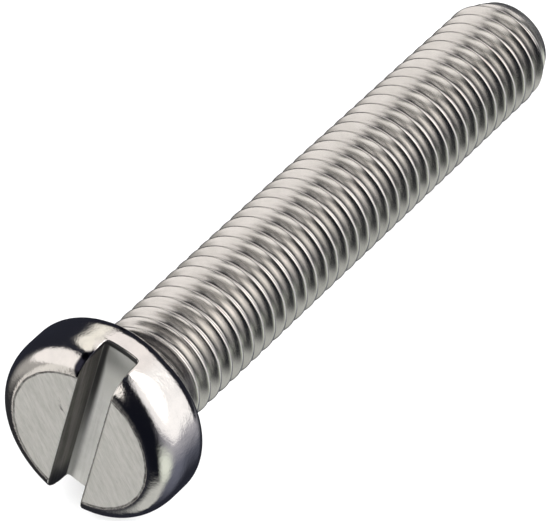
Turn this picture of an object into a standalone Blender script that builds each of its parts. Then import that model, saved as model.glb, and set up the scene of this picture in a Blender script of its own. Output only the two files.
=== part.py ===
"""Slotted cheese head machine screw, M5 x 30, lying on its side.

Metres, +Z up. The screw is modelled upright, its head upwards and the head's underside at z = 0, and is
then laid down: its tip points along +X, and it touches the ground at the head's rim and at the thread's
last full turn, so its axis dips a little towards the tip. The ground is z = 0, and the middle of the
screw's footprint is the origin.
"""
import math

import bmesh
import bpy
from mathutils import Matrix, Vector

# Head: a low cylinder with a flat top, an elliptical shoulder and a rounded lower rim
HEAD_DIAMETER = 0.0085
HEAD_HEIGHT = 0.0031
SHOULDER_WIDTH = 0.0010
SHOULDER_DEPTH = 0.00155
RIM_RADIUS = 0.0008

# Driving slot, and its turn away from upright as the screw lies
SLOT_WIDTH = 0.0016
SLOT_DEPTH = 0.00165
SLOT_TURN = math.radians(-12.8)

# Thread: right-handed, with flats at crest and root given as shares of the pitch
THREAD_DIAMETER = 0.0050
THREAD_PITCH = 0.0008
THREAD_ANGLE = math.radians(60.0)
CREST_SHARE = 1.0 / 8.0
ROOT_SHARE = 1.0 / 4.0

# Shank under the head: a plain neck, the thread's run-out, the thread and the chamfered tip
SHANK_LENGTH = 0.0300
NECK_LENGTH = 0.0008
NECK_FILLET = 0.0003
RUN_OUT_LENGTH = 0.0005
TIP_CHAMFER_LENGTH = 0.00115
TIP_CHAMFER_WIDTH = 0.0005

# Facets of the round surfaces
HEAD_FACETS = 36
THREAD_FACETS = 24
SHOULDER_STEPS = 7
RIM_STEPS = 5
FILLET_STEPS = 3

# How far a joined solid is sunk into its neighbour, or a cutter stands proud
OVERLAP = 0.00005

# Points closer than this are the same point
MERGE_DISTANCE = 0.000001

# Stainless steel, slightly warm
STEEL_COLOUR = (0.62, 0.61, 0.58, 1.0)
STEEL_ROUGHNESS = 0.3

# Radii that follow from the thread's form; the neck has the pitch diameter, as a rolled blank does
FLANK_SLOPE = math.tan(THREAD_ANGLE / 2)
HEAD_RADIUS = HEAD_DIAMETER / 2
CREST_RADIUS = THREAD_DIAMETER / 2
ROOT_RADIUS = CREST_RADIUS - THREAD_PITCH * (1 - CREST_SHARE - ROOT_SHARE) / 2 / FLANK_SLOPE
NECK_RADIUS = CREST_RADIUS - THREAD_PITCH * (1 / 2 - CREST_SHARE) / 2 / FLANK_SLOPE

# The shank starts halfway between the head's underside and the slot's floor
SHANK_START = (HEAD_HEIGHT - SLOT_DEPTH) / 2


def arc(centre, radii, start, end, steps):
    """Points of an elliptical arc in the r-z plane, from the start angle to the end angle."""
    points = []
    for step in range(steps + 1):
        angle = start + (end - start) * step / steps
        points.append((centre[0] + radii[0] * math.cos(angle), centre[1] + radii[1] * math.sin(angle)))
    return points


def head_profile():
    """The head's outline from the middle of its top to the middle of its underside."""
    shoulder_centre = (HEAD_RADIUS - SHOULDER_WIDTH, HEAD_HEIGHT - SHOULDER_DEPTH)
    rim_centre = (HEAD_RADIUS - RIM_RADIUS, RIM_RADIUS)
    profile = [(0.0, HEAD_HEIGHT)]
    profile += arc(shoulder_centre, (SHOULDER_WIDTH, SHOULDER_DEPTH), math.pi / 2, 0.0, SHOULDER_STEPS)
    profile += arc(rim_centre, (RIM_RADIUS, RIM_RADIUS), 0.0, -math.pi / 2, RIM_STEPS)
    profile.append((0.0, 0.0))
    return profile


def blank_profile():
    """The thread's core, wide at the neck, and longer at both ends than the shank that is cut from it."""
    wide = CREST_RADIUS + NECK_FILLET
    top = SHANK_START + OVERLAP
    bottom = -SHANK_LENGTH - THREAD_PITCH
    return [
        (0.0, top),
        (wide, top),
        (wide, -NECK_LENGTH),
        (ROOT_RADIUS, -NECK_LENGTH - RUN_OUT_LENGTH),
        (ROOT_RADIUS, bottom),
        (0.0, bottom),
    ]


def envelope_profile():
    """The shank's outer form: fillet, neck, run-out, a cylinder just proud of the crests, and chamfer."""
    fillet_centre = (NECK_RADIUS + NECK_FILLET, -NECK_FILLET)
    proud = CREST_RADIUS + OVERLAP
    chamfer_top = -SHANK_LENGTH + TIP_CHAMFER_LENGTH * (1 + OVERLAP / TIP_CHAMFER_WIDTH)
    profile = [(0.0, SHANK_START), (fillet_centre[0], SHANK_START)]
    profile += arc(fillet_centre, (NECK_FILLET, NECK_FILLET), math.pi / 2, math.pi, FILLET_STEPS)
    profile += [
        (NECK_RADIUS, -NECK_LENGTH),
        (proud, -NECK_LENGTH - RUN_OUT_LENGTH),
        (proud, chamfer_top),
        (CREST_RADIUS - TIP_CHAMFER_WIDTH, -SHANK_LENGTH),
        (0.0, -SHANK_LENGTH),
    ]
    return profile


def ridge_section():
    """The closed section of the thread's ridge, its crest at z = 0 and its base sunk into the core."""
    crest_half = THREAD_PITCH * CREST_SHARE / 2
    base_radius = ROOT_RADIUS - OVERLAP
    base_half = crest_half + (CREST_RADIUS - base_radius) * FLANK_SLOPE
    return [
        (base_radius, base_half),
        (CREST_RADIUS, crest_half),
        (CREST_RADIUS, -crest_half),
        (base_radius, -base_half),
    ]


def outline_object(name, points, closed, collection):
    """An object whose mesh is a line of edges through points in its XZ plane."""
    edges = [(i, i + 1) for i in range(len(points) - 1)]
    if closed:
        edges.append((len(points) - 1, 0))
    mesh = bpy.data.meshes.new(name)
    mesh.from_pydata([(r, 0.0, z) for r, z in points], edges, [])
    obj = bpy.data.objects.new(name, mesh)
    collection.objects.link(obj)
    return obj


def turned(name, profile, facets, collection):
    """A solid of revolution about Z, turned half a facet so that a flat facet faces the ground."""
    obj = outline_object(name, profile, False, collection)
    turn = obj.modifiers.new("Turn", "SCREW")
    turn.axis = "Z"
    turn.steps = facets
    turn.render_steps = facets
    turn.use_merge_vertices = True
    turn.merge_threshold = MERGE_DISTANCE
    obj.rotation_euler.z = math.pi / facets
    return obj


def closed_mesh(obj, name):
    """The evaluated mesh of an object, with its open ends filled and its faces pointing out."""
    mesh = bpy.data.meshes.new_from_object(obj.evaluated_get(bpy.context.evaluated_depsgraph_get()))
    mesh.name = name
    work = bmesh.new()
    work.from_mesh(mesh)
    bmesh.ops.holes_fill(work, edges=work.edges, sides=0)
    bmesh.ops.recalc_face_normals(work, faces=work.faces)
    work.to_mesh(mesh)
    work.free()
    return mesh


def thread_ridge(collection):
    """The helical ridge, swept up from below the tip to the head, with a crest at z = 0 on +X."""
    half_facet = math.pi / THREAD_FACETS
    turns = math.ceil(SHANK_LENGTH / THREAD_PITCH) + 1
    section = outline_object("thread_section", ridge_section(), True, collection)
    sweep = section.modifiers.new("Sweep", "SCREW")
    sweep.axis = "Z"
    sweep.screw_offset = THREAD_PITCH
    sweep.iterations = turns
    sweep.steps = THREAD_FACETS
    sweep.render_steps = THREAD_FACETS
    ridge = bpy.data.objects.new("thread_ridge", closed_mesh(section, "thread_ridge"))
    collection.objects.link(ridge)
    ridge.rotation_euler.z = half_facet
    ridge.location.z = THREAD_PITCH * (half_facet / (2 * math.pi) - turns)
    bpy.data.objects.remove(section)
    return ridge


def slot_cutter(collection):
    """A bar through the head, whose lower face is the slot's floor."""
    overshoot = SLOT_WIDTH
    size = Vector((HEAD_DIAMETER + 2 * overshoot, SLOT_WIDTH, SLOT_DEPTH + overshoot))
    middle = HEAD_HEIGHT - SLOT_DEPTH + size.z / 2
    mesh = bpy.data.meshes.new("slot_cutter")
    work = bmesh.new()
    bmesh.ops.create_cube(work, size=1.0)
    bmesh.ops.scale(work, vec=size, verts=work.verts)
    bmesh.ops.translate(work, vec=(0.0, 0.0, middle), verts=work.verts)
    work.to_mesh(mesh)
    work.free()
    cutter = bpy.data.objects.new("slot_cutter", mesh)
    collection.objects.link(cutter)
    cutter.rotation_euler.z = SLOT_TURN
    return cutter


def combine(target, other, operation):
    """Adds a Boolean modifier to the target."""
    boolean = target.modifiers.new(operation.title(), "BOOLEAN")
    boolean.operation = operation
    boolean.solver = "EXACT"
    boolean.object = other


def steel():
    """Stainless steel."""
    material = bpy.data.materials.new("steel")
    material.use_nodes = True
    surface = material.node_tree.nodes["Principled BSDF"]
    surface.inputs["Base Color"].default_value = STEEL_COLOUR
    surface.inputs["Metallic"].default_value = 1.0
    surface.inputs["Roughness"].default_value = STEEL_ROUGHNESS
    return material


def lying_pose():
    """Lays the upright screw along X, so that the head's rim and the last full turn are equally low."""
    rim_radius = HEAD_RADIUS - RIM_RADIUS
    run = SHANK_LENGTH - TIP_CHAMFER_LENGTH + RIM_RADIUS
    rise = rim_radius - CREST_RADIUS
    dip = math.atan2(rise, run) + math.asin(RIM_RADIUS / math.hypot(rise, run))
    return Matrix.Rotation(dip - math.pi / 2, 4, "Y")


def set_on_ground(frame, obj):
    """Moves the frame so that the solid touches z = 0 and the middle of its footprint is the origin."""
    bpy.context.view_layer.update()
    solid = obj.evaluated_get(bpy.context.evaluated_depsgraph_get())
    points = [solid.matrix_world @ vertex.co for vertex in solid.data.vertices]
    low = Vector([min(point[axis] for point in points) for axis in range(3)])
    high = Vector([max(point[axis] for point in points) for axis in range(3)])
    middle = (low + high) / 2
    frame.location -= Vector((middle.x, middle.y, low.z))


def build():
    """Makes the screw."""
    for obj in list(bpy.data.objects):
        bpy.data.objects.remove(obj)
    part = bpy.data.collections.new("cheese_head_screw")
    cutters = bpy.data.collections.new("cutters")
    for collection in (part, cutters):
        bpy.context.scene.collection.children.link(collection)

    shank = turned("shank", blank_profile(), THREAD_FACETS, cutters)
    ridge = thread_ridge(cutters)
    envelope = turned("shank_envelope", envelope_profile(), THREAD_FACETS, cutters)
    combine(shank, ridge, "UNION")
    combine(shank, envelope, "INTERSECT")
    weld = shank.modifiers.new("Weld", "WELD")
    weld.merge_threshold = MERGE_DISTANCE

    screw = turned("screw", head_profile(), HEAD_FACETS, part)
    slot = slot_cutter(cutters)
    combine(screw, slot, "DIFFERENCE")
    combine(screw, shank, "UNION")
    screw.data.materials.append(steel())

    frame = bpy.data.objects.new("lying_frame", None)
    part.objects.link(frame)
    for obj in (screw, slot, shank, ridge, envelope):
        obj.parent = frame
    frame.matrix_world = lying_pose()
    set_on_ground(frame, screw)
    for obj in cutters.objects:
        obj.hide_render = True
        obj.display_type = "WIRE"


build()
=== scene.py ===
"""Looks of the cheese head screw: its fine surface, its steel finishes, the studio and the camera.

Metres, +Z up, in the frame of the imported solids. The screw is built upright, its head upwards and the
head's underside at z = 0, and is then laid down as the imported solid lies, with its place in its mesh.
The finishes read places in millimetres, and the widths inside them are millimetres too.
"""

import logging
import math
from collections.abc import Callable
from dataclasses import dataclass, field
from enum import Enum
from functools import reduce
from typing import TypeAlias

import bmesh
import bpy
from bmesh.types import BMesh, BMVert
from bpy.types import Material, Node, NodeSocket, NodeTree, Object
from mathutils import Euler, Matrix, Vector, noise


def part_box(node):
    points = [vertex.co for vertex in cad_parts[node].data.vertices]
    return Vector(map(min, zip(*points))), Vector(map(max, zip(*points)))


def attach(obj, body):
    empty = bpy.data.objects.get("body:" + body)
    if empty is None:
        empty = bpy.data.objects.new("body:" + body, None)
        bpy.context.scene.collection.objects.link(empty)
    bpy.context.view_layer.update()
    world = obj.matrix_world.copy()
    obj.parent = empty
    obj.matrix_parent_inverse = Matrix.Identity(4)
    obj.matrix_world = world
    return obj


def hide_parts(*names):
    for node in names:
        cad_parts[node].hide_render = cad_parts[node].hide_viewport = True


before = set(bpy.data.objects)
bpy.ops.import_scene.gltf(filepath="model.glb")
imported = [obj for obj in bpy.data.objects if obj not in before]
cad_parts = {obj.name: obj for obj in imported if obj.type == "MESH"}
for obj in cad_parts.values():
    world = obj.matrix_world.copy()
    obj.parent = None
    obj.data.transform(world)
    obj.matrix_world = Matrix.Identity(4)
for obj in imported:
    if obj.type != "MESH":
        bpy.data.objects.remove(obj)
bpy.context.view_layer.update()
LOG = logging.getLogger("screw")
MM = 1000.0
QUARTER = math.pi / 2
WHITE = (1.0, 1.0, 1.0, 1.0)

Colour: TypeAlias = tuple[float, float, float, float]
Feed: TypeAlias = "Term | NodeSocket | float | tuple | None"


class Zone(Enum):
    """The stretches of the screw's surface, each with a finish and a material slot of its own."""

    HEAD = 0
    SLOT = 1
    THREAD = 2
    TIP = 3


def operator(operation: str, turned: bool = False) -> Callable[["Term", Feed], "Term"]:
    """An operator that works out a term with another value, which comes first if turned."""
    return lambda term, other: term.sheet.calc(operation, *((other, term) if turned else (term, other)))


@dataclass(frozen=True)
class Term:
    """A value that a node tree works out, for ordinary arithmetic."""

    sheet: "NodeSheet"
    socket: NodeSocket

    __add__ = __radd__ = operator("ADD")
    __sub__ = operator("SUBTRACT")
    __rsub__ = operator("SUBTRACT", turned=True)
    __mul__ = __rmul__ = operator("MULTIPLY")
    __truediv__ = operator("DIVIDE")


class NodeSheet:
    """A node tree that is being filled, with short ways to add and join nodes."""

    def __init__(self, tree: NodeTree) -> None:
        """Starts on a tree."""
        self.tree = tree

    def feed(self, socket: NodeSocket, value: Feed) -> None:
        """Links a socket to a term or to another socket, or sets its own value.

        Args:
            socket: The input to feed.
            value: A term or socket to link from, a plain value, or None to leave the input alone.
        """
        source = value.socket if isinstance(value, Term) else value
        if isinstance(source, NodeSocket):
            self.tree.links.new(source, socket)
        elif source is not None:
            socket.default_value = source

    def add(self, kind: str, feeds: dict[str | int, Feed] | None = None, **settings: object) -> Node:
        """Adds a node.

        Args:
            kind: The node's type name.
            feeds: Values or sockets for the node's inputs, by input name or number.
            settings: Properties of the node.

        Returns:
            The new node.
        """
        node = self.tree.nodes.new(kind)
        for name, value in settings.items():
            setattr(node, name, value)
        for name, value in (feeds or {}).items():
            self.feed(node.inputs[name], value)
        return node

    def terms(self, kind: str, *values: Feed, **settings: object) -> list[Term]:
        """Adds a node of a kind, its inputs fed with values in order, and gives its outputs in order."""
        node = self.add(kind, dict(enumerate(values)), **settings)
        return [Term(self, socket) for socket in node.outputs]

    def calc(self, operation: str, *values: Feed) -> Term:
        """Adds a Math node with up to three values."""
        return self.terms("ShaderNodeMath", *values, operation=operation)[0]

    def most(self, *values: Feed) -> Term:
        """The largest of some values."""
        return reduce(lambda first, second: self.calc("MAXIMUM", first, second), values)

    def ramp(self, value: Feed, low: Feed, high: Feed, out_low: Feed = 0.0, out_high: Feed = 1.0) -> Term:
        """Maps a value softly, low to out_low and high to out_high, and holds it past both."""
        return self.terms("ShaderNodeMapRange", value, low, high, out_low, out_high,
                          interpolation_type="SMOOTHSTEP")[0]

    def split(self, vector: Feed) -> list[Term]:
        """The x, y and z of a vector."""
        return self.terms("ShaderNodeSeparateXYZ", vector)

    def join(self, x: Feed, y: Feed, z: Feed) -> Term:
        """A vector made of x, y and z."""
        return self.terms("ShaderNodeCombineXYZ", x, y, z)[0]

    def mix_colour(self, share: Feed, first: Feed, second: Feed) -> NodeSocket:
        """Mixes two colours, from the first at share 0 to the second at share 1."""
        return self.add("ShaderNodeMix", {0: share, 6: first, 7: second}, data_type="RGBA").outputs[2]

    def clouds(self, place: Feed, seed: Feed, scale: Feed, detail: float, roughness: float = 0.5) -> Term:
        """Adds cloudy noise from 0 to 1, with so many finer layers (detail) as strong as roughness says."""
        feeds = {"Vector": place, "W": seed, "Scale": scale, "Detail": detail, "Roughness": roughness}
        return Term(self, self.add("ShaderNodeTexNoise", feeds, noise_dimensions="4D").outputs[0])

    def relief(self, height: Feed, strength: float, depth: float, under: Feed = None) -> NodeSocket:
        """Adds a relief to the normals under it, depth metres deep where its height is 1."""
        feeds = {"Height": height, "Strength": strength, "Distance": depth, "Normal": under}
        return self.add("ShaderNodeBump", feeds).outputs[0]


def new_group(name: str, kind: str, inputs: dict[str, str],
              outputs: dict[str, str]) -> tuple[NodeSheet, dict[str, Term]]:
    """Starts a node group with named inputs and outputs.

    Args:
        name: The group's name.
        kind: What it is for, Shader or Geometry.
        inputs: The kind of each input's socket, by name.
        outputs: The kind of each output's socket, by name.

    Returns:
        The group's sheet, and its inputs by name.
    """
    tree = bpy.data.node_groups.new(name, kind + "NodeTree")
    for way, sockets in (("INPUT", inputs), ("OUTPUT", outputs)):
        for label, socket in sockets.items():
            tree.interface.new_socket(label, in_out=way, socket_type="NodeSocket" + socket)
    sheet = NodeSheet(tree)
    return sheet, dict(zip(inputs, sheet.terms("NodeGroupInput")))


def emptied(block: Material | bpy.types.World) -> NodeSheet:
    """Starts a node tree from nothing.

    Args:
        block: The material or world that owns it.

    Returns:
        The tree's sheet.
    """
    block.use_nodes = True
    block.node_tree.nodes.clear()
    return NodeSheet(block.node_tree)


def placed(name: str, data: bpy.types.ID) -> Object:
    """Adds an object to the scene.

    Args:
        name: The object's name.
        data: Its mesh, lamp or camera.

    Returns:
        The object.
    """
    made = bpy.data.objects.new(name, data)
    bpy.context.scene.collection.objects.link(made)
    return made


@dataclass(frozen=True)
class ThreadForm:
    """A right-handed 60 degree thread with flats at crest and root.

    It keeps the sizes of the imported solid: a crest at z = 0 on +X, and the tip chamfered to the end.
    """

    crest_radius: float = 0.0025
    pitch: float = 0.0008
    half_angle: float = math.radians(30.0)
    crest_share: float = 1 / 8
    root_share: float = 1 / 4
    length: float = 0.0300
    neck_length: float = 0.0008
    neck_fillet: float = 0.0003
    run_out: float = 0.0005
    chamfer_length: float = 0.00115
    chamfer_width: float = 0.0005
    end_break: float = 0.00005

    @property
    def root_radius(self) -> float:
        """Radius at the flat of the root."""
        flank = self.pitch * (1 - self.crest_share - self.root_share) / 2
        return self.crest_radius - flank / math.tan(self.half_angle)

    @property
    def neck_radius(self) -> float:
        """Radius of the plain neck, which is the pitch radius."""
        return self.crest_radius - self.pitch * (1 / 2 - self.crest_share) / 2 / math.tan(self.half_angle)


@dataclass
class ThreadedShank:
    """The shank: a helical sheet wound by Geometry Nodes, with its neck, run-out, chamfer and end.

    Rows stand closer together at crest and root, by the share row_bunching. The slowest row climbs
    row_slack of its even step more than that, and across the end the rows close in at end_closing of
    their own steps. The wobble is noise, read round a circle of wobble_radius.
    """

    form: ThreadForm
    columns: int = 96
    rows_per_pitch: int = 16
    row_bunching: float = 0.6
    row_slack: float = 1.02
    end_closing: float = 6.0
    root_rounding: float = 0.00012
    crest_rounding: float = 0.00008
    seat_reach: float = 0.00008
    wobble: float = 0.000006
    wobble_scale: float = 1.3
    wobble_radius: float = 3.0
    seed: float = 4.0
    weld: float = 0.000001

    def inputs(self) -> dict[str, float | int]:
        """Works out the tree's inputs, in metres, as shares or as whole numbers.

        Returns:
            Each input's value, by name.
        """
        form = self.form
        below = math.ceil(form.length / form.pitch) + 2
        above = math.ceil((form.neck_fillet * 2 + self.seat_reach) / form.pitch) + 1
        return {
            "Pitch": form.pitch,
            "Crest Radius": form.crest_radius,
            "Root Radius": form.root_radius,
            "Crest Half Width": form.pitch * form.crest_share / 2,
            "Flank Slope": 1 / math.tan(form.half_angle),
            "Length": form.length,
            "Neck Radius": form.neck_radius,
            "Neck Length": form.neck_length,
            "Neck Fillet": form.neck_fillet,
            "Run-out": form.run_out,
            "Chamfer Length": form.chamfer_length,
            "End Radius": form.crest_radius - form.chamfer_width,
            "End Break": form.end_break,
            "Seat Reach": self.seat_reach,
            "Row Bunching": self.row_bunching,
            "Root Rounding": self.root_rounding,
            "Crest Rounding": self.crest_rounding,
            "Wobble": self.wobble,
            "Seed": self.seed,
            "Columns": self.columns,
            "Rows per Pitch": self.rows_per_pitch,
            "Turns Below": below,
            "Turns": below + above,
        }

    def tree(self, material: Material) -> NodeTree:
        """Builds the Geometry Nodes tree that winds the thread.

        A flat grid is wrapped round the axis, its rows climbing one pitch a turn, so that rows run along
        crest and root. Rows that would pass the neck go on along the fillet and the seat, and rows that
        would pass the tip go on across its end.

        Args:
            material: What the tree sets on its faces.

        Returns:
            The tree, with its inputs named.
        """
        inputs = {name: "Int" if isinstance(value, int) else "Float" for name, value in self.inputs().items()}
        sheet, size = new_group("wound_thread", "Geometry", inputs, {"Geometry": "Geometry"})
        sheet.tree.is_modifier = True
        rows = size["Turns"] * size["Rows per Pitch"]
        part = sheet.add("GeometryNodeMeshGrid", {
            "Size X": 1.0, "Size Y": 1.0, "Vertices X": size["Columns"] + 1.0, "Vertices Y": rows + 1.0,
        }).outputs["Mesh"]
        across, up, _ = sheet.split(sheet.terms("GeometryNodeInputPosition")[0])
        turn = across + 0.5
        even = (up + 0.5) * size["Turns"] - size["Turns Below"]
        wave = sheet.calc("SINE", even * (2 * math.tau))
        row = even - wave * (size["Row Bunching"] / (2 * math.tau))
        height, radius = self.wrapped(sheet, size, (row + turn) * size["Pitch"], turn)
        cosine, sine = (sheet.calc(name, turn * math.tau) for name in ("COSINE", "SINE"))
        steps = {
            "SetPosition": {"Position": sheet.join(radius * cosine, radius * sine, height)},
            "MergeByDistance": {"Distance": self.weld},
            "SetShadeSmooth": {},
            "RealizeInstances": {},
            "SetMaterial": {"Material": material},
        }
        for kind, feeds in steps.items():
            part = sheet.add("GeometryNode" + kind, {"Geometry": part, **feeds}).outputs[0]
        sheet.add("NodeGroupOutput", {"Geometry": part})
        return sheet.tree

    def wrapped(self, sheet: NodeSheet, size: dict[str, Term], climb: Term, turn: Term) -> tuple[Term, Term]:
        """Works out each grid point's height and radius.

        Args:
            sheet: The tree that is being filled.
            size: The tree's inputs.
            climb: The point's height on an endless thread.
            turn: The point's share of a turn.

        Returns:
            The point's height and radius on the real shank.
        """
        calc, pitch, fillet = sheet.calc, size["Pitch"], size["Neck Fillet"]
        crest, end, end_break = size["Crest Radius"], size["End Radius"], size["End Break"]
        hold = (size["Row Bunching"] + self.row_slack) / size["Rows per Pitch"] * pitch
        edge = end_break - size["Length"]
        past = edge - climb
        on_end = calc("GREATER_THAN", past, hold)
        across_end = sheet.most(past - hold * 2.0, 0.0)

        collar = fillet * -1.0
        above = sheet.most(climb - collar, 0.0)
        bend = calc("MINIMUM", above / fillet, QUARTER)
        seat = calc("MINIMUM", sheet.most(above - fillet * QUARTER, 0.0), size["Seat Reach"])
        flare = fillet * (1.0 - calc("COSINE", bend))
        rise = fillet * calc("SINE", bend)

        level = sheet.most(calc("MINIMUM", climb, collar), edge)
        nearest = calc("FRACT", level / pitch - turn + 0.5) - 0.5
        drop = (calc("ABSOLUTE", nearest) * pitch - size["Crest Half Width"]) * size["Flank Slope"]
        topped = calc("SMOOTH_MIN", crest - drop, crest, size["Crest Rounding"])
        full = calc("SMOOTH_MAX", topped, size["Root Radius"], size["Root Rounding"])

        neck_end = size["Neck Length"] * -1.0
        formed = sheet.ramp(level, neck_end, neck_end - size["Run-out"])
        thread = size["Neck Radius"] + (full - size["Neck Radius"]) * formed
        cone = end + (level + size["Length"]) * ((crest - end) / size["Chamfer Length"])
        shaped = calc("SMOOTH_MIN", thread, cone, size["Crest Rounding"])

        cosine, sine = (calc(name, turn * math.tau) * self.wobble_radius for name in ("COSINE", "SINE"))
        around = sheet.join(cosine, sine, level / pitch)
        ripple = sheet.clouds(around, size["Seed"], self.wobble_scale, detail=3.0)
        rolled = shaped + (ripple - 0.5) * (size["Wobble"] * 2.0) * formed

        inward = sheet.most(end - end_break - across_end * self.end_closing, 0.0)
        radius = (rolled + flare + seat) * (1.0 - on_end) + inward * on_end
        return level + rise - end_break * on_end, radius

    def mesh(self, material: Material) -> bpy.types.Mesh:
        """Winds the thread and makes it a plain mesh.

        Args:
            material: What the tree sets on its faces.

        Returns:
            The shank's mesh, upright, open only at the seat under the head.
        """
        carrier = placed("shank_carrier", bpy.data.meshes.new("shank_carrier"))
        winding = carrier.modifiers.new("Wound thread", "NODES")
        winding.node_group = self.tree(material)
        values = self.inputs()
        for item in winding.node_group.interface.items_tree:
            if item.in_out == "INPUT":
                winding[item.identifier] = values[item.name]
        bpy.context.view_layer.update()
        wound = carrier.evaluated_get(bpy.context.evaluated_depsgraph_get())
        mesh = bpy.data.meshes.new_from_object(wound)
        carrier.modifiers.remove(winding)
        bpy.data.objects.remove(carrier)
        return mesh


@dataclass
class SlottedHead:
    """The head: a flat top with a driving slot, an elliptical shoulder, a low side and a flat seat.

    A quarter of it is built beside the slot, with margins of thin faces where two surfaces meet. The
    slot's finish starts finish_lap inside its broken edges, and a fine burr on them ends burr_reach
    breaks away.
    """

    diameter: float = 0.0085
    height: float = 0.0031
    shoulder_width: float = 0.0010
    shoulder_depth: float = 0.00155
    shoulder_power: float = 2.2
    rim_radius: float = 0.0008
    slot_width: float = 0.0016
    slot_depth: float = 0.00165
    slot_corner: float = 0.00016
    slot_turn: float = math.radians(-12.8)
    edge_break: float = 0.00008
    finish_lap: float = 0.000024
    margin: float = 0.00003
    weld: float = 0.0000001
    seat_radius: float = 0.0027
    burr: float = 0.000012
    burr_reach: float = 1.4
    burr_scales: tuple[float, float] = (9000.0, 23000.0)
    quarter_columns: int = 60
    shoulder_rows: int = 44
    side_rows: int = 6
    rim_rows: int = 14
    flat_stations: int = 40
    corner_rows: int = 6
    floor_columns: int = 7
    edge_rows: int = 4
    quarter: BMesh = field(init=False, repr=False)
    ribs: list[list[BMVert]] = field(init=False, repr=False)
    inners: list[BMVert] = field(init=False, repr=False)

    @property
    def radius(self) -> float:
        """Radius of the head's side."""
        return self.diameter / 2

    @property
    def flat_radius(self) -> float:
        """Radius of the flat top."""
        return self.radius - self.shoulder_width

    @property
    def floor(self) -> float:
        """Height of the slot's floor."""
        return self.height - self.slot_depth

    def radius_at(self, z: float) -> float:
        """Radius of the outer surface at a height above the rim.

        Args:
            z: The height, in metres.

        Returns:
            The radius, in metres.
        """
        rise = max((z - self.height + self.shoulder_depth) / self.shoulder_depth, 0.0)
        share = max(1 - rise ** self.shoulder_power, 0.0)
        return self.flat_radius + self.shoulder_width * share ** (1 / self.shoulder_power)

    def outward(self, radius: float, z: float) -> Vector:
        """The outer surface's direction at a point of its profile.

        Args:
            radius: The point's radius.
            z: The point's height.

        Returns:
            The normal's radial and upward parts.
        """
        power = self.shoulder_power - 1
        out = max(radius - self.flat_radius, 0.0) / self.shoulder_width
        rise = max(z - self.height + self.shoulder_depth, 0.0) / self.shoulder_depth
        return Vector((out ** power / self.shoulder_width, rise ** power / self.shoulder_depth)).normalized()

    def cut_rows(self) -> list[tuple[float, float, float]]:
        """Rows of the outer surface that the slot cuts, from the flat's edge to below the slot's floor.

        Returns:
            Each row's radius, its height, and how far across it starts beside the slot.
        """
        start = self.slot_width / 2 + self.edge_break
        level = self.floor + self.slot_corner + self.margin
        rows = [(self.flat_radius - inset, self.height, start) for inset in (2 * self.margin, 0.0)]
        for step in range(1, self.shoulder_rows):
            cosine = math.cos(QUARTER * step / self.shoulder_rows)
            z = self.height - self.shoulder_depth * (1 - cosine ** (2 / self.shoulder_power))
            if z > level + self.margin:
                rows.append((self.radius_at(z), z, start))
        rows.append((self.radius_at(level), level, start))
        reach = self.slot_corner + self.edge_break
        for gamma in self.corner_angles():
            z = self.floor + self.slot_corner - reach * math.sin(gamma)
            across = self.slot_width / 2 - self.slot_corner + reach * math.cos(gamma)
            rows.append((self.radius_at(z), z, across))
        return rows

    def corner_angles(self) -> list[float]:
        """Angles along the fillet between the slot's wall and its floor."""
        return [QUARTER * step / self.corner_rows for step in range(self.corner_rows + 1)]

    def shares(self) -> list[float]:
        """Works out where the columns stand, close together beside the slot.

        Returns:
            Their shares of a quarter turn.
        """
        margin = self.margin / self.radius
        wide, even = 6 * margin, self.quarter_columns - 2
        return [0.0, margin, 3 * margin, *(wide + (1 - wide) * step / even for step in range(even + 1))]

    def floor_places(self) -> list[float]:
        """How far across the slot's floor the columns stand, from its corner to its middle."""
        edge = self.slot_width / 2 - self.slot_corner - self.margin
        return [edge * (1 - step / self.floor_columns) for step in range(self.floor_columns + 1)]

    def point(self, x: float, y: float, z: float) -> BMVert:
        """Adds a point to the quarter that is being built."""
        return self.quarter.verts.new((x, y, z))

    def arc(self, radius: float, angles: list[float], z: float) -> list[BMVert]:
        """Adds a row of points on a circle round the axis."""
        return [self.point(radius * math.cos(angle), radius * math.sin(angle), z) for angle in angles]

    def face(self, *corners: BMVert) -> None:
        """Adds a face to the quarter that is being built."""
        self.quarter.faces.new(corners)

    def ladder(self, first: list[BMVert], second: list[BMVert]) -> None:
        """Joins two rows of as many points with four-sided faces."""
        for step in range(len(first) - 1):
            self.face(first[step], first[step + 1], second[step + 1], second[step])

    def add_rib(self, corner: Vector, outer: Vector, channel: Vector, first: BMVert) -> None:
        """Adds a rib across the broken edge, and a point a margin further along the slot's surface.

        Args:
            corner: Where the outer surface and the slot's would meet in a sharp edge.
            outer: The outer surface's normal there, square to the slot's.
            channel: The slot surface's normal there, towards the open slot.
            first: The rib's point on the outer surface, which is there already.
        """
        rib = [first]
        slide = first.co - (corner - self.edge_break * channel)
        for step in range(1, self.edge_rows + 1):
            beta = QUARTER * step / self.edge_rows
            fade = 1 - math.sin(beta)
            inset = fade * channel + (1 - math.cos(beta)) * outer
            rib.append(self.point(*(corner - self.edge_break * inset + fade * slide)))
        self.ribs.append(rib)
        self.inners.append(self.point(*(rib[-1].co - self.margin * outer)))

    def build(self) -> BMesh:
        """Builds the head.

        A quarter is built beside the slot and mirrored twice, and then turned with its slot.

        Returns:
            The head, upright, open only at the seat round the neck.
        """
        self.quarter = bmesh.new()
        self.ribs, self.inners = [], []
        half = self.slot_width / 2
        rows = self.cut_rows()
        grid = []
        for radius, z, across in rows:
            start = math.asin(across / radius)
            grid.append(self.arc(radius, [start + (QUARTER - start) * share for share in self.shares()], z))
        for upper, lower in zip(grid, grid[1:]):
            self.ladder(upper, lower)

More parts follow.
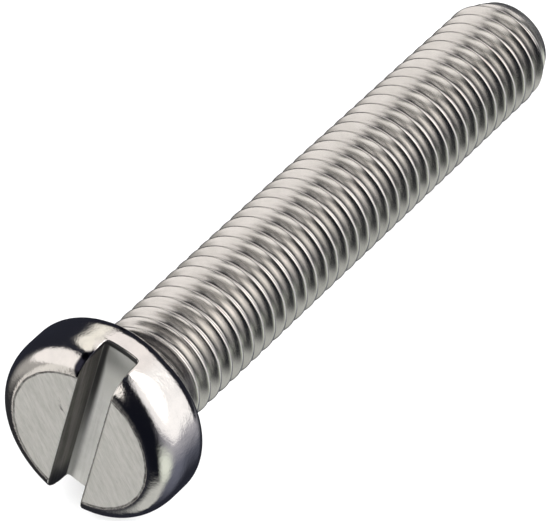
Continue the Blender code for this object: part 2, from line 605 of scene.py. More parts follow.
        up, to_slot = Vector((0.0, 0.0, 1.0)), Vector((0.0, -1.0, 0.0))
        beside, spines = [], []
        for station in range(self.flat_stations):
            x = grid[0][0].co.x * station / self.flat_stations
            first = self.point(x, half + self.edge_break, self.height)
            beside.append(self.point(x, half + self.edge_break + self.margin, self.height))
            self.add_rib(Vector((x, half, self.height)), up, to_slot, first)
        self.ladder(beside, [rib[0] for rib in self.ribs])

        corner_start = len(rows) - len(self.corner_angles())
        for (radius, z, _), row in zip(rows[:corner_start], grid):
            along = math.sqrt(radius ** 2 - half ** 2)
            radial, rise = self.outward(radius, z)
            outer = Vector((radial * along / radius, 0.0, rise)).normalized()
            self.add_rib(Vector((along, half, z)), outer, to_slot, row[0])
        spines.append(self.point(0.0, half, rows[corner_start - 1][1]))
        wall = len(self.ribs) - 1
        for gamma, row in zip(self.corner_angles(), grid[corner_start:]):
            y = half - self.slot_corner * (1 - math.cos(gamma))
            z = self.floor + self.slot_corner * (1 - math.sin(gamma))
            radius = self.radius_at(z)
            along = math.sqrt(radius ** 2 - y ** 2)
            channel = Vector((0.0, -math.cos(gamma), math.sin(gamma)))
            radial = Vector((along / radius, y / radius, 0.0))
            outer = (radial - radial.dot(channel) * channel).normalized()
            self.add_rib(Vector((along, y, z)), outer, channel, row[0])
            spines.append(self.point(0.0, y, z))

        low = rows[-1][1]
        ring = []
        floor_start = len(self.ribs)
        for y in self.floor_places():
            along = math.sqrt(self.radius ** 2 - y ** 2)
            ring.insert(0, self.point(along, y, low))
            radial = Vector((along / self.radius, y / self.radius, 0.0))
            self.add_rib(Vector((along, y, self.floor)), radial, up, ring[0])
        spines.append(self.point(0.0, self.floor_places()[0], self.floor))

        for first, second in zip(self.ribs, self.ribs[1:]):
            self.ladder(first, second)
        self.ladder([rib[-1] for rib in self.ribs], self.inners)
        self.ladder(self.inners[wall:wall + len(spines)], spines)
        self.face(spines[0], *reversed(self.inners[:wall + 1]))
        self.face(spines[-1], *self.inners[floor_start:], self.point(0.0, 0.0, self.floor))
        self.face(beside[-1], self.ribs[self.flat_stations - 1][0], grid[0][0], grid[0][1])
        self.face(*beside, *grid[0][1:])
        self.close_below(ring + grid[-1], low)
        return self.whole()

    def close_below(self, ring: list[BMVert], top: float) -> None:
        """Adds the side below the slot, the rounded rim and the seat.

        Args:
            ring: The quarter's points just below the slot's floor, from the slot's middle round.
            top: The height of those points.
        """
        span = top - self.margin - self.rim_radius
        places = [(self.radius, self.rim_radius + span * (1 - step / self.side_rows))
                  for step in range(self.side_rows + 1)]
        for step in range(1, self.rim_rows + 1):
            angle = QUARTER * step / self.rim_rows
            radius = self.radius - self.rim_radius * (1 - math.cos(angle))
            places.append((radius, self.rim_radius * (1 - math.sin(angle))))
        places += [(self.radius - self.rim_radius - self.margin, 0.0), (self.seat_radius, 0.0)]
        angles = [math.atan2(vertex.co.y, vertex.co.x) for vertex in ring]
        for radius, z in places:
            lower = self.arc(radius, angles, z)
            self.ladder(ring, lower)
            ring = lower

    def whole(self) -> BMesh:
        """Mirrors the quarter into the whole head, roughens its broken edges and turns it.

        Returns:
            The whole head.
        """
        head = self.quarter
        for axis in "XY":
            everything = head.verts[:] + head.edges[:] + head.faces[:]
            bmesh.ops.mirror(head, geom=everything, merge_dist=self.weld, axis=axis)
        bmesh.ops.recalc_face_normals(head, faces=head.faces)
        coarse, fine = self.burr_scales
        for vertex in head.verts:
            nearness = self.slot_edge_nearness(vertex.co)
            if nearness > 0:
                ripple = noise.noise(vertex.co * coarse) + 0.6 * noise.noise(vertex.co * fine)
                vertex.co += vertex.normal * (self.burr * nearness * ripple)
        bmesh.ops.rotate(head, matrix=Matrix.Rotation(self.slot_turn, 3, "Z"), verts=head.verts)
        return head

    def slot_edge_nearness(self, place: Vector) -> float:
        """How near a point of the unturned head is to the slot's upper edges.

        Args:
            place: The point.

        Returns:
            Its nearness, from 0 to 1.
        """
        beside = abs(abs(place.y) - self.slot_width / 2) / self.edge_break
        out = math.hypot(place.x, place.y)
        below = (self.height - place.z) if out < self.flat_radius else self.radius_at(place.z) - out
        near = max(0.0, self.burr_reach - beside) * max(0.0, self.burr_reach - abs(below) / self.edge_break)
        return min(near, 1.0)

    def is_slot(self, place: Vector) -> bool:
        """Whether a point of the turned head lies on the slot's walls or floor.

        Args:
            place: The point.

        Returns:
            Whether it does.
        """
        local = Matrix.Rotation(-self.slot_turn, 3, "Z") @ place
        inside = abs(local.y) < self.slot_width / 2 + self.finish_lap
        deep = math.hypot(local.x, local.y) < self.radius_at(local.z) - self.finish_lap
        return inside and deep and self.floor - self.margin < local.z < self.height - self.finish_lap


@dataclass(frozen=True)
class LyingPose:
    """How the upright screw is laid down, on its head's rim and its last full turn."""

    head: SlottedHead
    form: ThreadForm

    @property
    def dip(self) -> float:
        """How far the axis dips towards the tip.

        Returns:
            The angle in radians.
        """
        run = self.form.length - self.form.chamfer_length + self.head.rim_radius
        rise = self.head.radius - self.head.rim_radius - self.form.crest_radius
        return math.atan2(rise, run) + math.asin(self.head.rim_radius / math.hypot(rise, run))

    def matrix(self, places: list[Vector], box: tuple[Vector, Vector]) -> Matrix:
        """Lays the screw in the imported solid's box.

        Args:
            places: The points of the upright screw.
            box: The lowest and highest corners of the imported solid.

        Returns:
            The matrix from the upright screw to the lying one.
        """
        turn = Matrix.Rotation(self.dip - QUARTER, 4, "Y")
        lying = [turn @ place for place in places]
        low, high = (Vector([edge(p[axis] for p in lying) for axis in range(3)]) for edge in (min, max))
        middle, wanted = (low + high) / 2, (box[0] + box[1]) / 2
        shift = Vector((wanted.x - middle.x, wanted.y - middle.y, box[0].z - low.z))
        return Matrix.Translation(shift) @ turn


def screw_axes_group() -> NodeTree:
    """Builds the group that reads places on the screw from object coordinates.

    Its inputs are the object coordinates, the screw's place and turn, and the slot's turn. Its outputs
    are the upright place in millimetres, the place turned with the slot, the radius, the height and the
    turn about the axis.

    Returns:
        The group.
    """
    inputs = dict.fromkeys(("Object", "Place", "Turn", "Slot Turn"), "Vector")
    outputs = dict.fromkeys(("Upright", "Along Slot"), "Vector")
    outputs |= dict.fromkeys(("Radius", "Height", "Round"), "Float")
    sheet, given = new_group("screw_axes", "Shader", inputs, outputs)
    upright = sheet.add("ShaderNodeMapping", {
        "Vector": given["Object"], "Location": given["Place"], "Rotation": given["Turn"],
        "Scale": (1 / MM, 1 / MM, 1 / MM),
    }, vector_type="TEXTURE").outputs[0]
    along = sheet.add("ShaderNodeMapping", {"Vector": upright, "Rotation": given["Slot Turn"]},
                      vector_type="TEXTURE").outputs[0]
    x, y, z = sheet.split(upright)
    found = (upright, along, sheet.calc("SQRT", x * x + y * y), z, sheet.calc("ARCTAN2", y, x))
    sheet.add("NodeGroupOutput", dict(enumerate(found)))
    return sheet.tree


def scratches_group() -> NodeTree:
    """Builds the group of fine straight scratches.

    Its inputs are a place in millimetres, the scratches' direction, how many lie side by side in a
    millimetre, how much longer than wide they are, and a seed. It puts out a height from 0 to 1.

    Returns:
        The group.
    """
    inputs = dict.fromkeys(("Vector", "Direction"), "Vector")
    inputs |= dict.fromkeys(("Density", "Stretch", "Seed"), "Float")
    sheet, given = new_group("fine_scratches", "Shader", inputs, {"Height": "Float"})
    turned = sheet.add("ShaderNodeMapping", {"Vector": given["Vector"], "Rotation": given["Direction"]},
                       vector_type="TEXTURE").outputs[0]
    x, y, z = sheet.split(turned)
    thin = sheet.join(x / given["Stretch"], y, z)
    fine = sheet.clouds(thin, given["Seed"], given["Density"], detail=4.0, roughness=0.6)
    coarse = sheet.clouds(thin, given["Seed"], given["Density"] * 0.3, detail=2.0)
    sheet.add("NodeGroupOutput", {"Height": (fine + coarse) * 0.5})
    return sheet.tree


def mottling_group() -> NodeTree:
    """Builds the group of soft patches and specks that break up bare steel.

    Its inputs are a place in millimetres, the patches' size as a scale, and a seed. It puts out patches
    and specks, both from 0 to 1.

    Returns:
        The group.
    """
    inputs = {"Vector": "Vector", "Scale": "Float", "Seed": "Float"}
    sheet, given = new_group("mottling", "Shader", inputs, {"Patches": "Float", "Specks": "Float"})
    patches = sheet.clouds(given["Vector"], given["Seed"], given["Scale"], detail=5.0, roughness=0.62)
    specks = sheet.clouds(given["Vector"], given["Seed"], given["Scale"] * 6.0, detail=2.0)
    sheet.add("NodeGroupOutput", {0: sheet.ramp(patches, 0.3, 0.7), 1: sheet.ramp(specks, 0.62, 0.78)})
    return sheet.tree


@dataclass(frozen=True)
class SteelKit:
    """What every steel finish shares: the node groups, and how the screw and its slot lie."""

    axes: NodeTree
    scratches: NodeTree
    mottling: NodeTree
    lying: Matrix
    slot_turn: float


class SteelSheet(NodeSheet):
    """The node sheet of a steel material, with places on the screw in millimetres."""

    def __init__(self, name: str, kit: SteelKit) -> None:
        """Starts the material.

        Args:
            name: The material's name.
            kit: The shared groups and places.
        """
        self.material = bpy.data.materials.new(name)
        self.material.use_nodes = True
        super().__init__(self.material.node_tree)
        self.kit = kit
        object_place = self.add("ShaderNodeTexCoord").outputs["Object"]
        self.upright, self.along, self.radius, self.height, self.round_axis = self.terms(
            "ShaderNodeGroup", object_place, kit.lying.to_translation(), tuple(kit.lying.to_euler()),
            (0.0, 0.0, kit.slot_turn), node_tree=kit.axes)

    def scratch(self, place: Term, direction: float, density: float, stretch: float, seed: float) -> Term:
        """Adds fine scratches, turned in radians, so many a millimetre, and stretch times as long as wide."""
        values = (place, (0.0, 0.0, direction), density, stretch, seed)
        return self.terms("ShaderNodeGroup", *values, node_tree=self.kit.scratches)[0]

    def mottle(self, place: Term, scale: float, seed: float) -> list[Term]:
        """Adds patches and specks, at a scale and with a seed that picks the pattern."""
        return self.terms("ShaderNodeGroup", place, scale, seed, node_tree=self.kit.mottling)

    def finish(self, colour: Feed, metallic: Feed, roughness: Feed, normal: Feed) -> Material:
        """Feeds the steel's surface.

        Args:
            colour: Its base colour.
            metallic: 1, less the share that scatters light as a film of fine scratches does.
            roughness: Its roughness.
            normal: Its normals.

        Returns:
            The material.
        """
        surface = self.tree.nodes["Principled BSDF"].inputs
        feeds = {"Base Color": colour, "Metallic": metallic, "Roughness": roughness, "Normal": normal}
        for name, value in feeds.items():
            self.feed(surface[name], value)
        return self.material


@dataclass(frozen=True)
class HeadFinish:
    """Polished shoulder and side with a painted dark reflection; a faced top with fine scratches, nicks, and
    painted shade at its rim and by the slot.
    """

    kit: SteelKit
    head: SlottedHead
    polish: Colour = (0.66, 0.64, 0.62, 1.0)
    polish_dull: Colour = (0.54, 0.53, 0.52, 1.0)
    top: Colour = (1.0, 0.99, 0.96, 1.0)
    top_dull: Colour = (0.74, 0.75, 0.71, 1.0)
    # Painted shade at the top's rim and beside the slot; the real nicks share this dark colour.
    shade_and_grime: Colour = (0.09, 0.08, 0.075, 1.0)
    # Painted dark reflection: the wedge on the shoulder beside the slot's far half.
    painted_dark_reflection: Colour = (0.02, 0.02, 0.03, 1.0)
    polish_roughness: float = 0.07
    top_roughness: float = 0.60
    film: float = 0.07
    scratch_direction: float = math.radians(30.0)
    cross_turn: float = 1.1
    scratch_depth: float = 0.00002
    pit_depth: float = 0.000008
    wedge_width: float = 0.42

    def material(self) -> Material:
        """Builds the head's material.

        Returns:
            The material.
        """
        steel = SteelSheet("polished_head", self.kit)
        ramp, upright = steel.ramp, steel.upright
        flat, top = self.head.flat_radius * MM, self.head.height * MM
        radius = steel.radius + steel.mottle(upright, scale=2.0, seed=1.5)[0] * 0.03
        on_top = ramp(radius, flat + 0.06, flat + 0.03) * ramp(steel.height, top - 0.06, top - 0.02)
        off_top = 1.0 - on_top

        patches, specks = steel.mottle(upright, scale=1.4, seed=7.0)
        grain = steel.scratch(upright, self.scratch_direction, density=20.0, stretch=6.0, seed=3.0)
        crossing = self.scratch_direction + self.cross_turn
        cross = steel.scratch(upright, crossing, density=9.0, stretch=20.0, seed=8.0)
        lines = ramp(grain, 0.32, 0.68)
        polish = steel.mix_colour(patches * 0.5, self.polish, self.polish_dull)
        # Painted dark reflection on the shoulder beside the slot.
        polish = steel.mix_colour(self.dark_reflection_wedge_share(steel), polish, self.painted_dark_reflection)
        faced = steel.mix_colour(lines * 0.8 + specks * 0.4, self.top, self.top_dull)
        # Painted shade at the top's rim and beside the slot, with the real nicks.
        faced = steel.mix_colour(self.shade_and_grime_share(steel, radius), faced, self.shade_and_grime)

        smooth = patches * 0.06 + self.polish_roughness
        rough = lines * 0.12 + (self.top_roughness - 0.06)
        ripple = steel.clouds(upright, seed=2.0, scale=2.6, detail=3.0)
        pits = steel.clouds(upright, seed=4.0, scale=10.0, detail=3.0)
        normal = steel.relief((cross * 0.5 + grain) * on_top, strength=0.5, depth=self.scratch_depth)
        normal = steel.relief(ripple * off_top, strength=0.5, depth=self.scratch_depth, under=normal)
        normal = steel.relief(pits * off_top, strength=0.6, depth=self.pit_depth, under=normal)
        return steel.finish(steel.mix_colour(on_top, polish, faced), on_top * -self.film + 1.0,
                            (rough - smooth) * on_top + smooth, normal)

    def shade_and_grime_share(self, steel: SteelSheet, radius: Term) -> Term:
        """Works out where the top is dark: painted shade in a broken line at its rim and in one beside the
        slot, and a few nicks.

        Args:
            steel: The material's sheet.
            radius: The distance from the axis in millimetres, a little uneven.

        Returns:
            How dark the top is, from 0 to 1.
        """
        flat, half = self.head.flat_radius * MM, self.head.slot_width * MM / 2
        broken = steel.mottle(steel.upright, scale=3.0, seed=21.0)[0] * 0.6 + 0.4
        # Painted shade: a broken dark line at the rim of the top.
        rim = steel.ramp(radius, flat - 0.07, flat - 0.01) * broken
        # Painted shade: a dark line beside the slot, on one side only.
        across = steel.split(steel.along)[1]
        beside = steel.ramp(across, -half - 0.12, -half - 0.05) * steel.calc("LESS_THAN", across, 0.0)
        direction = self.scratch_direction
        stroke = steel.scratch(steel.upright, direction, density=3.2, stretch=4.0, seed=33.0)
        return steel.most(rim, beside * 0.8, steel.ramp(stroke, 0.64, 0.70) * 0.8)

    def dark_reflection_wedge_share(self, steel: SteelSheet) -> Term:
        """Works out where the painted dark reflection, a wedge, lies on the shoulder beside the slot's far
        half.

        Args:
            steel: The material's sheet.

        Returns:
            How dark the shoulder is, from 0 to 1.
        """
        ramp = steel.ramp
        flat, half = self.head.flat_radius * MM, self.head.slot_width * MM / 2
        x, across, _ = steel.split(steel.along)
        swell = ramp(x, flat - 0.4, flat + 0.35) * ramp(x, flat + 0.95, flat + 0.65)
        reach = swell * self.wedge_width + half
        near = ramp(across, reach, reach - 0.14) * ramp(swell, 0.0, 0.1)
        return near * ramp(across, half - 0.3, half - 0.2)


@dataclass(frozen=True)
class SlotFinish:
    """Milled slot: streaks along it, a pale floor, walls painted darker as shade, and painted shade in a
    corner and at the ends.
    """

    kit: SteelKit
    head: SlottedHead
    floor_bright: Colour = (1.0, 0.99, 0.95, 1.0)
    floor_dull: Colour = (0.76, 0.76, 0.71, 1.0)
    # The walls are the floor's milled steel, painted darker as shade.
    shaded_wall: Colour = (0.26, 0.245, 0.23, 1.0)
    shaded_wall_dull: Colour = (0.13, 0.125, 0.12, 1.0)
    # Painted shade in the slot's corner and at its ends.
    shade_and_grime: Colour = (0.05, 0.05, 0.055, 1.0)
    roughness: float = 0.56
    film: float = 0.68
    streak_depth: float = 0.00002

    def material(self) -> Material:
        """Builds the slot's material.

        Returns:
            The material.
        """
        steel, head = SteelSheet("milled_slot", self.kit), self.head
        ramp, most, mix, along = steel.ramp, steel.most, steel.mix_colour, steel.along
        floor, outer, half = head.floor * MM, head.radius * MM, head.slot_width * MM / 2
        streaks = steel.scratch(along, 0.0, density=9.0, stretch=18.0, seed=5.0)
        streak = ramp(streaks, 0.36, 0.64)
        dirt = steel.mottle(along, scale=2.4, seed=9.0)[0] * 0.35 + streak * 0.65
        x, across, _ = steel.split(along)
        on_wall = ramp(steel.height, floor + 0.08, floor + 0.20)
        # Painted shade: the floor darkens towards the slot's far end, and the walls towards the floor.
        floor_dirt_and_shade = most(dirt, ramp(x, 0.0, 2.6))
        wall_dirt_and_shade = most(dirt, ramp(steel.height, floor + 1.3, floor + 0.25) * 0.75)
        tint = mix(on_wall, mix(floor_dirt_and_shade, self.floor_bright, self.floor_dull),
                   mix(wall_dirt_and_shade, self.shaded_wall, self.shaded_wall_dull))

        # Painted shade at the slot's far end, at the near end of its walls, and along the floor beside one
        # wall.
        far_end_shade = ramp(steel.radius, outer - 0.34, outer - 0.20) * steel.calc("GREATER_THAN", x, 0.0)
        near_end_shade = ramp(x, 1.7 - outer, 0.6 - outer) * on_wall
        corner = ramp(across, half - 0.40, half - 0.10) * ramp(x, -3.0, 2.0, 0.52, 0.92)
        floor_end_shade = most(corner, ramp(x, 2.3, 3.4, 0.0, 0.5)) * (1.0 - on_wall)
        painted_shade_share = most(floor_end_shade, most(far_end_shade, near_end_shade) * 0.95)
        metallic = most(on_wall * self.film + (1.0 - self.film), painted_shade_share)
        return steel.finish(mix(painted_shade_share, tint, self.shade_and_grime), metallic, streak * 0.16 + (self.roughness - 0.08),
                            steel.relief(streaks, strength=0.5, depth=self.streak_depth))


@dataclass(frozen=True)
class ThreadFinish:
    """Rolled thread: satin flanks with streaks along the helix, a painted highlight on the crests and painted
    shade in the roots.
    """

    kit: SteelKit
    form: ThreadForm
    bright: Colour = (0.62, 0.605, 0.59, 1.0)
    dull: Colour = (0.50, 0.49, 0.47, 1.0)
    # Painted shade in the thread's roots.
    root: Colour = (0.10, 0.10, 0.105, 1.0)
    # Painted highlight on the crests.
    crest: Colour = (0.76, 0.74, 0.72, 1.0)
    roughness: float = 0.22
    end_film: float = 0.18
    streak_depth: float = 0.00001

    def material(self) -> Material:
        """Builds the thread's material.

        Returns:
            The material.
        """
        steel, form = SteelSheet("rolled_thread", self.kit), self.form
        ramp, mix, radius, height = steel.ramp, steel.mix_colour, steel.radius, steel.height
        crest, root, end, neck = (size * MM for size in (
            form.crest_radius, form.root_radius, form.length, form.neck_length))
        sine, cosine = (steel.calc(name, steel.round_axis) * 0.8 for name in ("SINE", "COSINE"))
        wound = steel.join(sine, cosine, height * 9.0)
        lines = steel.clouds(wound, seed=6.0, scale=2.0, detail=4.0, roughness=0.65)
        tint = steel.mottle(steel.upright, scale=0.7, seed=12.0)[0] * 0.6 + lines * 0.4
        # Painted highlight on the crests, which are also rougher.
        crest_highlight = ramp(radius, crest - 0.03, crest - 0.004) * ramp(lines, 0.36, 0.56, 0.4, 1.0)
        # Painted shade in the roots.
        root_shade = ramp(radius, root + 0.10, root + 0.02) * ramp(height, -neck, -neck - form.run_out * MM)
        flank = mix(root_shade * 0.35, mix(tint, self.bright, self.dull), self.root)
        chamfered = ramp(height, 0.9 - end, 0.6 - end) * ramp(lines, 0.35, 0.65)
        return steel.finish(mix(crest_highlight, flank, self.crest), chamfered * -self.end_film + 1.0,
                            crest_highlight * 0.12 + (lines * 0.16 + (self.roughness - 0.06)),
                            steel.relief(lines, strength=0.3, depth=self.streak_depth))


@dataclass(frozen=True)
class TipFinish:
    """Sheared and pressed end of the tip."""

    kit: SteelKit
    bright: Colour = (0.62, 0.61, 0.58, 1.0)
    dull: Colour = (0.44, 0.43, 0.41, 1.0)
    roughness: float = 0.4
    film: float = 0.12
    line_depth: float = 0.00002

    def material(self) -> Material:
        """Builds the tip's material.

        Returns:
            The material.
        """
        steel = SteelSheet("pressed_tip", self.kit)
        lines = steel.scratch(steel.upright, 0.6, density=16.0, stretch=10.0, seed=11.0)
        dirt = steel.mottle(steel.upright, scale=1.8, seed=15.0)[0] * 0.5 + lines * 0.4
        return steel.finish(steel.mix_colour(dirt, self.bright, self.dull), 1.0 - self.film,
                            lines * 0.2 + (self.roughness - 0.1),
                            steel.relief(lines, strength=0.5, depth=self.line_depth))


@dataclass
class Screw:
    """The whole screw, one closed piece of steel. The tip's finish reaches end_lap up from its end."""

    form: ThreadForm = field(default_factory=ThreadForm)
    head: SlottedHead = field(default_factory=SlottedHead)
    sharp_angle: float = math.radians(50.0)
    end_lap: float = 0.000005

    def build(self) -> Object:
        """Builds, lays down and dresses the screw.

        Returns:
            The finished piece.
        """
        blank = bpy.data.materials.new("rolled_blank")
        shank = ThreadedShank(self.form).mesh(blank)
        body = self.head.build()
        for face in body.faces:
            in_slot = self.head.is_slot(face.calc_center_median())
            face.material_index = (Zone.SLOT if in_slot else Zone.HEAD).value
        self.add_shank(body, shank)
        pose = LyingPose(self.head, self.form)
        matrix = pose.matrix([vertex.co.copy() for vertex in body.verts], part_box("screw"))
        bmesh.ops.transform(body, matrix=matrix, verts=body.verts)
        mesh = bpy.data.meshes.new("screw_surface")
        body.to_mesh(mesh)
        body.free()
        for material in self.finishes(matrix):
            mesh.materials.append(material)
        mesh.shade_smooth()
        mesh.set_sharp_from_angle(angle=self.sharp_angle)
        bpy.data.meshes.remove(shank)
        bpy.data.materials.remove(blank)
        return placed("screw_visual", mesh)

    def add_shank(self, body: BMesh, shank: bpy.types.Mesh) -> None:
        """Adds the shank to the head and joins the two across the seat.

        Args:
            body: The head, which gets the shank's faces.
            shank: The upright shank.
        """
        count = len(body.faces)
        body.from_mesh(shank)
        body.faces.ensure_lookup_table()
        end = self.end_lap - self.form.length
        for face in body.faces[count:]:
            on_end = all(vertex.co.z < end for vertex in face.verts)
            face.material_index = (Zone.TIP if on_end else Zone.THREAD).value
        seat = [edge for edge in body.edges if len(edge.link_faces) == 1]
        for face in bmesh.ops.bridge_loops(body, edges=seat)["faces"]:
            face.material_index = Zone.HEAD.value
        bmesh.ops.recalc_face_normals(body, faces=body.faces)

    def finishes(self, matrix: Matrix) -> list[Material]:
        """Builds the four steel finishes.

        Args:
            matrix: The matrix from the upright screw to the lying one.

        Returns:
            The materials, in the order of their zones.
        """
        kit = SteelKit(screw_axes_group(), scratches_group(), mottling_group(), matrix, self.head.slot_turn)
        made = {
            Zone.HEAD: HeadFinish(kit, self.head),
            Zone.SLOT: SlotFinish(kit, self.head),
            Zone.THREAD: ThreadFinish(kit, self.form),
            Zone.TIP: TipFinish(kit),
        }
        return [made[zone].material() for zone in Zone]


@dataclass(frozen=True)
class SoftPatch:
    """A soft-edged patch of light or dark on the dome that the polished steel mirrors.

    Its place is an azimuth, from +X towards +Y, and an elevation, in degrees, and so are its half width
    and half height. Lean moves its upper part along, in degrees of azimuth a degree of elevation, and
    spread is the share by which it is wider at its upper edge than at its middle.
    """

    name: str
    azimuth: float
    elevation: float
    half_width: float
    half_height: float
    colour: tuple[float, float, float]
    softness: float = 0.15
    lean: float = 0.0
    squareness: float = 4.0
    spread: float = 0.0

    def share(self, azimuth: float, elevation: float) -> float:
        """How much of the patch shows in a direction.

        Args:
            azimuth: The direction's azimuth in degrees.
            elevation: The direction's elevation in degrees.

        Returns:
            The share, from 0 to 1.
        """
        rise = elevation - self.elevation
        aside = (azimuth - self.azimuth - self.lean * rise + 180.0) % 360.0 - 180.0
        width = self.half_width * max(1 + self.spread * rise / self.half_height, 0.1)
        power = self.squareness
        reach = (abs(aside / width) ** power + abs(rise / self.half_height) ** power) ** (1 / power)
        step = min(max((1 + self.softness - reach) / (2 * self.softness), 0.0), 1.0)
        return step * step * (3 - 2 * step)


@dataclass(frozen=True)
class MirroredRoom:
    """The room round the screw, as a painted dome that only mirrored rays see."""

    reach: float = 1.2
    columns: int = 180
    rows: int = 90
    wall: tuple[float, float, float] = (0.025, 0.027, 0.039)
    patches: tuple[SoftPatch, ...] = (
        SoftPatch("dark_side", -148, 10, 56, 62, (0.008, 0.009, 0.015), 0.25),
        SoftPatch("left_bench", 104, -46, 30, 20, (0.035, 0.035, 0.038), 0.4),
        SoftPatch("bench", -150, -68, 52, 21, (0.74, 0.75, 0.71), 0.40),
        SoftPatch("bench_shade", -72, -38, 32, 30, (0.20, 0.21, 0.27), 0.8),
        SoftPatch("right_box_spill", -62, -8, 40, 20, (0.60, 0.59, 0.64), 0.7),
        SoftPatch("far_box_spill", 126, -8, 32, 20, (0.56, 0.54, 0.51), 0.5),
        SoftPatch("far_box_foot", 143, -17, 7, 24, (1.10, 1.06, 1.00), 0.35),
        SoftPatch("right_box", -63, 31, 45, 35, (1.40, 1.37, 1.36), 0.20, 0.05, 3.0, 0.06),
        SoftPatch("right_box_foot", -62, 0, 22, 14, (1.50, 1.47, 1.46), 0.4, 0.0, 2.5),
        SoftPatch("right_box_core", -60, 40, 17, 23, (4.20, 4.00, 3.80), 0.5, 0.5, 2.0),
        SoftPatch("behind_screw", 0, 8, 42, 30, (0.020, 0.021, 0.031), 0.12, 0.35),
        SoftPatch("overhead", 6, 54, 42, 20, (1.32, 1.25, 1.22), 0.15, 0.0, 2.6),
        SoftPatch("far_box", 121, 26, 34, 28, (1.36, 1.30, 1.26), 0.12, 0.0, 3.0),
        SoftPatch("ceiling", 55, 46, 13, 22, (1.35, 1.30, 1.18), 0.35, 0.8),
        SoftPatch("left_gap", 181, 34, 16, 29, (1.60, 1.54, 1.46), 0.25, 0.66),
        SoftPatch("low_glow", -109, -33, 22, 19, (1.05, 1.10, 0.98), 0.6, 0.0, 2.0),
    )

    def light(self, azimuth: float, elevation: float) -> Vector:
        """The light that comes from a direction.

        Args:
            azimuth: The direction's azimuth in degrees.
            elevation: The direction's elevation in degrees.

        Returns:
            Its red, green and blue.
        """
        colour = Vector(self.wall)
        for patch in self.patches:
            colour = colour.lerp(Vector(patch.colour), patch.share(azimuth, elevation))
        return colour

    def build(self) -> None:
        """Builds the dome, seen only by mirrored rays."""
        work = bmesh.new()
        bmesh.ops.create_uvsphere(work, u_segments=self.columns, v_segments=self.rows, radius=self.reach)
        bmesh.ops.reverse_faces(work, faces=work.faces)
        paint = work.verts.layers.float_color.new("Light")
        for vertex in work.verts:
            azimuth = math.degrees(math.atan2(vertex.co.y, vertex.co.x))
            elevation = math.degrees(math.asin(max(-1.0, min(1.0, vertex.co.z / self.reach))))
            vertex[paint] = (*self.light(azimuth, elevation), 1.0)
        mesh = bpy.data.meshes.new("mirrored_room")
        work.to_mesh(mesh)
        work.free()
        mesh.materials.append(self.material())
        dome = placed("mirrored_room", mesh)
        for ray in ("camera", "diffuse", "transmission", "volume_scatter", "shadow"):
            setattr(dome, "visible_" + ray, False)

    def material(self) -> Material:
        """Builds the dome's glow.

        Returns:
            The material.
        """
        material = bpy.data.materials.new("mirrored_room")
        sheet = emptied(material)
        paint = sheet.add("ShaderNodeVertexColor", layer_name="Light").outputs["Color"]
        glow = sheet.add("ShaderNodeEmission", {"Color": paint, "Strength": 1.0})
        sheet.add("ShaderNodeOutputMaterial", {"Surface": glow.outputs[0]})
        return material


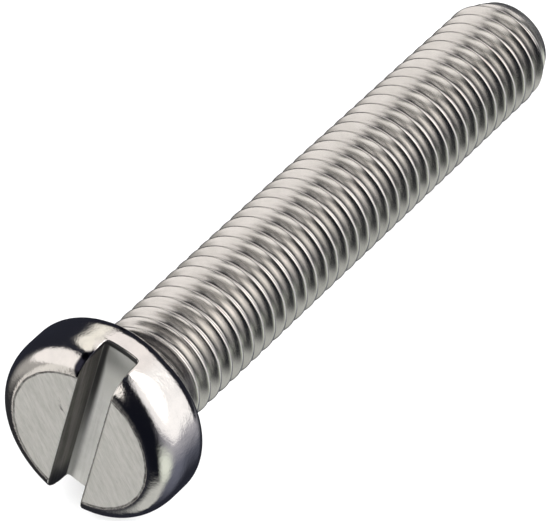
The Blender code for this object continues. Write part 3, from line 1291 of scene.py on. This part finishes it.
@dataclass
class Studio:
    """A pale floor, a pale surround, two soft lamps, and the room that the polished steel mirrors."""

    floor_size: float = 3.0
    floor_colour: Colour = (0.96, 0.96, 0.96, 1.0)
    floor_shadow: float = 0.35
    diffuse_sky: float = 0.55
    lamp_power: float = 9.0
    lamp_size: float = 0.5
    lamp_distance: float = 0.7

    def build(self) -> None:
        """Builds the studio."""
        self.floor()
        self.world()
        MirroredRoom().build()
        self.lamp("key_lamp", (-78.0, 40.0))
        self.lamp("fill_lamp", (119.0, 35.0))

    @staticmethod
    def seen(sheet: NodeSheet) -> Term:
        """1 for rays from the camera, a mirror or glass, and 0 for those that carry diffuse light."""
        rays = sheet.add("ShaderNodeLightPath").outputs
        return sheet.most(rays["Is Camera Ray"], rays["Is Glossy Ray"], rays["Is Transmission Ray"])

    def floor(self) -> None:
        """Lays the pale floor, which is white to the camera and keeps a soft shadow."""
        mesh, half = bpy.data.meshes.new("floor"), self.floor_size / 2
        corners = [(-half, -half, 0.0), (half, -half, 0.0), (half, half, 0.0), (-half, half, 0.0)]
        mesh.from_pydata(corners, [], [(0, 1, 2, 3)])
        material = bpy.data.materials.new("pale_floor")
        sheet = emptied(material)
        matt = sheet.add("ShaderNodeBsdfDiffuse", {"Color": self.floor_colour})
        white = sheet.add("ShaderNodeEmission", {"Color": WHITE, "Strength": 1.0})
        share = self.seen(sheet) * (1 - self.floor_shadow)
        mixed = sheet.add("ShaderNodeMixShader", {0: share, 1: matt.outputs[0], 2: white.outputs[0]})
        sheet.add("ShaderNodeOutputMaterial", {"Surface": mixed.outputs[0]})
        mesh.materials.append(material)
        floor = placed("floor", mesh)
        floor.visible_glossy = False

    def world(self) -> None:
        """Sets a surround that is white where it is seen and mirrored, and plain daylight grey elsewhere."""
        world = bpy.data.worlds.new("studio")
        bpy.context.scene.world = world
        sheet = emptied(world)
        strength = sheet.ramp(self.seen(sheet), 0.0, 1.0, self.diffuse_sky, 1.0)
        glow = sheet.add("ShaderNodeBackground", {"Color": WHITE, "Strength": strength})
        sheet.add("ShaderNodeOutputWorld", {"Surface": glow.outputs[0]})

    def lamp(self, name: str, direction: tuple[float, float]) -> None:
        """Hangs a soft lamp that faces the screw.

        Args:
            name: The lamp's name.
            direction: Its azimuth and elevation from the screw, in degrees.
        """
        light = bpy.data.lights.new(name, "AREA")
        light.shape = "SQUARE"
        light.size = self.lamp_size
        light.energy = self.lamp_power
        lamp = placed(name, light)
        azimuth, elevation = (math.radians(angle) for angle in direction)
        flat = math.cos(elevation)
        place = Vector((flat * math.cos(azimuth), flat * math.sin(azimuth), math.sin(elevation)))
        lamp.location = place * self.lamp_distance
        lamp.rotation_euler = (-place).to_track_quat("-Z", "Y").to_euler()
        lamp.visible_glossy = False
        lamp.visible_camera = False


@dataclass(frozen=True)
class PhotoCamera:
    """The camera that sees the screw as the photograph does."""

    place: tuple[float, float, float] = (-0.120756, -0.078648, 0.132250)
    heading: float = 33.58
    elevation: float = 42.18
    lens: float = 298.3
    sensor: float = 36.0
    clip: tuple[float, float] = (0.01, 10.0)

    def build(self) -> None:
        """Sets up the camera."""
        data = bpy.data.cameras.new("photo_camera")
        data.lens = self.lens
        data.sensor_width = self.sensor
        data.clip_start, data.clip_end = self.clip
        camera = placed("photo_camera", data)
        camera.location = self.place
        tilt, turn = math.radians(90.0 - self.elevation), math.radians(self.heading - 90.0)
        camera.rotation_euler = Euler((tilt, 0.0, turn))
        bpy.context.scene.camera = camera


def main() -> None:
    """Builds the screw, the studio and the camera."""
    logging.basicConfig(level=logging.INFO, format="%(message)s")
    bpy.context.scene.view_settings.view_transform = "Standard"
    piece = Screw().build()
    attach(piece, "root")
    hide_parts("screw")
    LOG.info("%s: %d faces", piece.name, len(piece.data.polygons))
    Studio().build()
    PhotoCamera().build()


if __name__ == "__main__":
    main()
